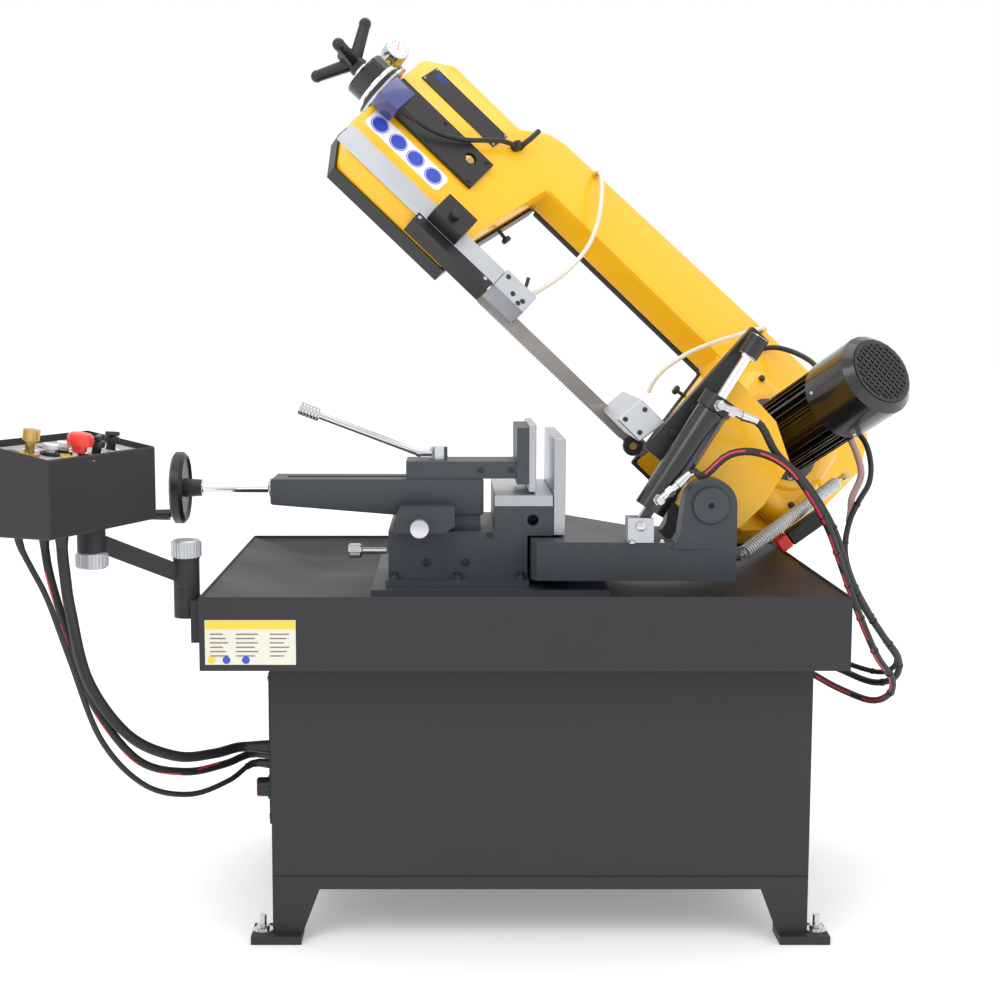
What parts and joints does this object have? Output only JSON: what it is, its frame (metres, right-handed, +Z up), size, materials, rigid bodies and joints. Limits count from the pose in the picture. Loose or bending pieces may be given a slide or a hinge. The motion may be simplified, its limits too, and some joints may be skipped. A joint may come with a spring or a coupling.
{
  "type": "band_saw",
  "caption": "Semi-automatic mitre band saw on a cabinet stand, canted yellow saw head raised by a lift cylinder, quick vise, chip tray and swing-arm control box",
  "frame": {"origin": "on the floor, under the middle of the machine's bounding box without its loose hoses and cables", "axes": "+Z up; +X along the vise towards the head's hinge, to the operator's right; +Y away from the operator"},
  "size_m": [1.4968, 0.9788, 1.5377],
  "materials": {
    "yellow": "gloss enamel, amber yellow",
    "charcoal": "fine textured powder coat, charcoal grey",
    "casting": "painted casting, dark blue-grey",
    "black": "satin black paint",
    "black_plastic": "black plastic",
    "rubber": "black hose cover",
    "steel": "ground steel",
    "zinc": "bright plated steel",
    "aluminium": "milled aluminium",
    "blade_steel": "dull blade steel",
    "brass": "turned brass",
    "red": "red plastic",
    "white": "white plastic",
    "blue": "dark blue plastic",
    "panel": "light grey paint",
    "hose_clear": "milky plastic tube"
  },
  "bodies": {
    "stand": {"cabinet": "charcoal", "chip_tray": "charcoal", "base_plate": "casting", "vise_base": "casting", "fixed_jaw": "steel", "beam_clamp_block": "casting", "arm_bracket": "charcoal", "cylinder_hose_upper": "rubber", "cylinder_hose_lower": "rubber", "motor_cable": "rubber", "control_conduit": "rubber", "control_hose": "rubber", "control_cable": "rubber"},
    "main_switch_body": {"main_switch": "black_plastic"},
    "beam_body": {"vise_beam": "casting"},
    "handwheel_body": {"vise_handwheel": "black_plastic"},
    "jaw_body": {"moving_jaw": "casting", "moving_jaw_face": "steel"},
    "jaw_lever_body": {"jaw_clamp_lever": "zinc"},
    "beam_knob_body": {"beam_clamp_knob": "zinc"},
    "mitre_lock_body": {"mitre_lock_lever": "zinc"},
    "mitre_arm_body": {"mitre_arm": "casting", "hinge_pin": "steel", "cylinder_bracket": "aluminium", "balance_spring": "zinc"},
    "head": {"head_frame": "yellow", "rear_cover": "black", "gearbox_housing": "yellow", "motor_body": "black", "motor_cowl": "black", "tension_housing": "black", "pressure_gauge": "black", "guide_arm_clamp": "black", "lower_guide_bar": "black", "lower_guide_block": "aluminium", "saw_blade": "blade_steel", "coolant_tube_upper": "hose_clear", "coolant_tube_lower": "hose_clear"},
    "idler_cover_body": {"idler_cover": "black"},
    "drive_wheel_body": {"drive_wheel": "casting"},
    "tension_slide_body": {"tension_slide": "black", "blade_switch": "blue"},
    "idler_wheel_body": {"idler_wheel": "casting"},
    "tension_handle_body": {"tension_handle": "black_plastic"},
    "guide_arm_body": {"guide_arm": "aluminium", "blade_guard": "black", "upper_guide_block": "aluminium"},
    "chip_brush_body": {"chip_brush": "black_plastic"},
    "cylinder_body": {"cylinder_barrel": "black"},
    "rod_body": {"cylinder_rod": "zinc"},
    "control_arm_body": {"control_arm": "charcoal"},
    "control_box_body": {"control_box": "charcoal", "control_panel": "panel"},
    "valve_knob_body": {"speed_valve_knob": "brass"},
    "start_button_body": {"start_button": "white"},
    "lamp_button_body": {"lamp_button": "white"},
    "stop_button_body": {"emergency_stop": "red"},
    "selector_front_body": {"selector_front": "black_plastic"},
    "selector_rear_body": {"selector_rear": "black_plastic"}
  },
  "joints": [
    {"name": "main_switch_turn", "type": "hinge", "parent": "stand", "child": "main_switch_body", "pos_m": [-0.36686, -0.14325, 0.232], "axis": [1, 0, 0], "range_deg": [0, 90]},
    {"name": "beam_slide", "type": "slide", "parent": "stand", "child": "beam_body", "axis": [1, 0, 0], "range_m": [-0.05, 0.01]},
    {"name": "handwheel_turn", "type": "hinge", "parent": "beam_body", "child": "handwheel_body", "pos_m": [-0.53656, -0.02625, 0.716], "axis": [1, 0, 0], "range_deg": [-3600, 720]},
    {"name": "jaw_slide", "type": "slide", "parent": "beam_body", "child": "jaw_body", "axis": [1, 0, 0], "range_m": [-0.05, 0.017]},
    {"name": "jaw_lever_turn", "type": "hinge", "parent": "jaw_body", "child": "jaw_lever_body", "pos_m": [-0.09156, -0.02625, 0.7645], "axis": [0, 0, 1], "range_deg": [-45, 75]},
    {"name": "beam_knob_turn", "type": "hinge", "parent": "stand", "child": "beam_knob_body", "pos_m": [-0.12156, -0.11325, 0.664], "axis": [0, 1, 0], "range_deg": [-30, 360]},
    {"name": "mitre_lock_turn", "type": "hinge", "parent": "stand", "child": "mitre_lock_body", "pos_m": [-0.17956, -0.04325, 0.611], "axis": [1, 0, 0], "range_deg": [-20, 20]},
    {"name": "mitre_swivel", "type": "hinge", "parent": "stand", "child": "mitre_arm_body", "pos_m": [0.10244, 0.20175, 0.6], "axis": [0, 0, 1], "range_deg": [0, 45]},
    {"name": "head_lift", "type": "hinge", "parent": "mitre_arm_body", "child": "head", "pos_m": [0.34744, -0.04325, 0.701], "axis": [0, 1, 0], "range_deg": [-43.5, 0], "deforming": ["balance_spring", "cylinder_hose_upper", "cylinder_hose_lower", "motor_cable"]},
    {"name": "cylinder_tilt", "type": "hinge", "parent": "mitre_arm_body", "child": "cylinder_body", "pos_m": [0.23544, -0.13325, 0.667], "axis": [0, 1, 0], "range_deg": [-36, 1]},
    {"name": "rod_slide", "type": "slide", "parent": "cylinder_body", "child": "rod_body", "axis": [0.53, 0, 0.848], "range_m": [-0.076, 0.002]},
    {"name": "drive_spin", "type": "hinge", "parent": "head", "child": "drive_wheel_body", "pos_m": [0.47742, 0.29303, 0.72553], "axis": [-0.4425, 0.766, -0.4663], "continuous": true},
    {"name": "tension_travel", "type": "slide", "parent": "head", "child": "tension_slide_body", "axis": [0.7254, 0, -0.6884], "range_m": [0, 0.006]},
    {"name": "tension_turn", "type": "hinge", "parent": "head", "child": "tension_handle_body", "pos_m": [-0.23748, 0.27778, 1.45397], "axis": [0.7254, 0, -0.6884], "range_deg": [-730, 5]},
    {"name": "idler_spin", "type": "hinge", "parent": "tension_slide_body", "child": "idler_wheel_body", "pos_m": [-0.10361, 0.29303, 1.2769], "axis": [-0.4425, 0.766, -0.4663], "continuous": true},
    {"name": "brush_spin", "type": "hinge", "parent": "head", "child": "chip_brush_body", "pos_m": [0.26024, 0.19155, 0.7696], "axis": [0, 1, 0], "continuous": true},
    {"name": "guide_slide", "type": "slide", "parent": "head", "child": "guide_arm_body", "axis": [0.7254, 0, -0.6884], "range_m": [0, 0.19], "deforming": ["coolant_tube_upper"]},
    {"name": "idler_cover_swing", "type": "hinge", "parent": "head", "child": "idler_cover_body", "pos_m": [0.03508, 0.45519, 1.40852], "axis": [0.7254, 0, -0.6884], "range_deg": [0, 100]},
    {"name": "control_arm_swing", "type": "hinge", "parent": "stand", "child": "control_arm_body", "pos_m": [-0.48406, -0.24325, 0.6], "axis": [0, 0, 1], "range_deg": [-15, 15], "deforming": ["control_conduit", "control_hose", "control_cable"]},
    {"name": "control_box_swing", "type": "hinge", "parent": "control_arm_body", "child": "control_box_body", "pos_m": [-0.61556, -0.31325, 0.69], "axis": [0, 0, 1], "range_deg": [-30, 30]},
    {"name": "valve_knob_turn", "type": "hinge", "parent": "control_box_body", "child": "valve_knob_body", "pos_m": [-0.67693, -0.4231, 0.80469], "axis": [0.1603, -0.0667, 0.9848], "range_deg": [-135, 135]},
    {"name": "start_button_press", "type": "slide", "parent": "control_box_body", "child": "start_button_body", "axis": [-0.1603, 0.0667, -0.9848], "range_m": [0, 0.003], "stiffness_N_per_m": 800},
    {"name": "lamp_button_press", "type": "slide", "parent": "control_box_body", "child": "lamp_button_body", "axis": [-0.1603, 0.0667, -0.9848], "range_m": [0, 0.003], "stiffness_N_per_m": 800},
    {"name": "stop_button_press", "type": "slide", "parent": "control_box_body", "child": "stop_button_body", "axis": [-0.1603, 0.0667, -0.9848], "range_m": [0, 0.005], "stiffness_N_per_m": 1200},
    {"name": "selector_front_turn", "type": "hinge", "parent": "control_box_body", "child": "selector_front_body", "pos_m": [-0.59944, -0.33946, 0.79775], "axis": [0.1603, -0.0667, 0.9848], "range_deg": [-45, 45]},
    {"name": "selector_rear_turn", "type": "hinge", "parent": "control_box_body", "child": "selector_rear_body", "pos_m": [-0.5896, -0.28506, 0.79983], "axis": [0.1603, -0.0667, 0.9848], "range_deg": [-45, 45]}
  ],
  "couplings": [
    {"joint": "beam_slide", "follows": "handwheel_turn", "m_per_rad": 0.000796},
    {"joint": "tension_turn", "follows": "tension_travel", "rad_per_m": -2094.4},
    {"joint": "idler_spin", "follows": "drive_spin", "ratio": 1},
    {"joint": "brush_spin", "follows": "drive_spin", "ratio": -7.8889},
    {"joint": "cylinder_tilt", "follows": "head_lift", "ratio": 0.803},
    {"joint": "rod_slide", "follows": "head_lift", "m_per_rad": 0.0977}
  ]
}
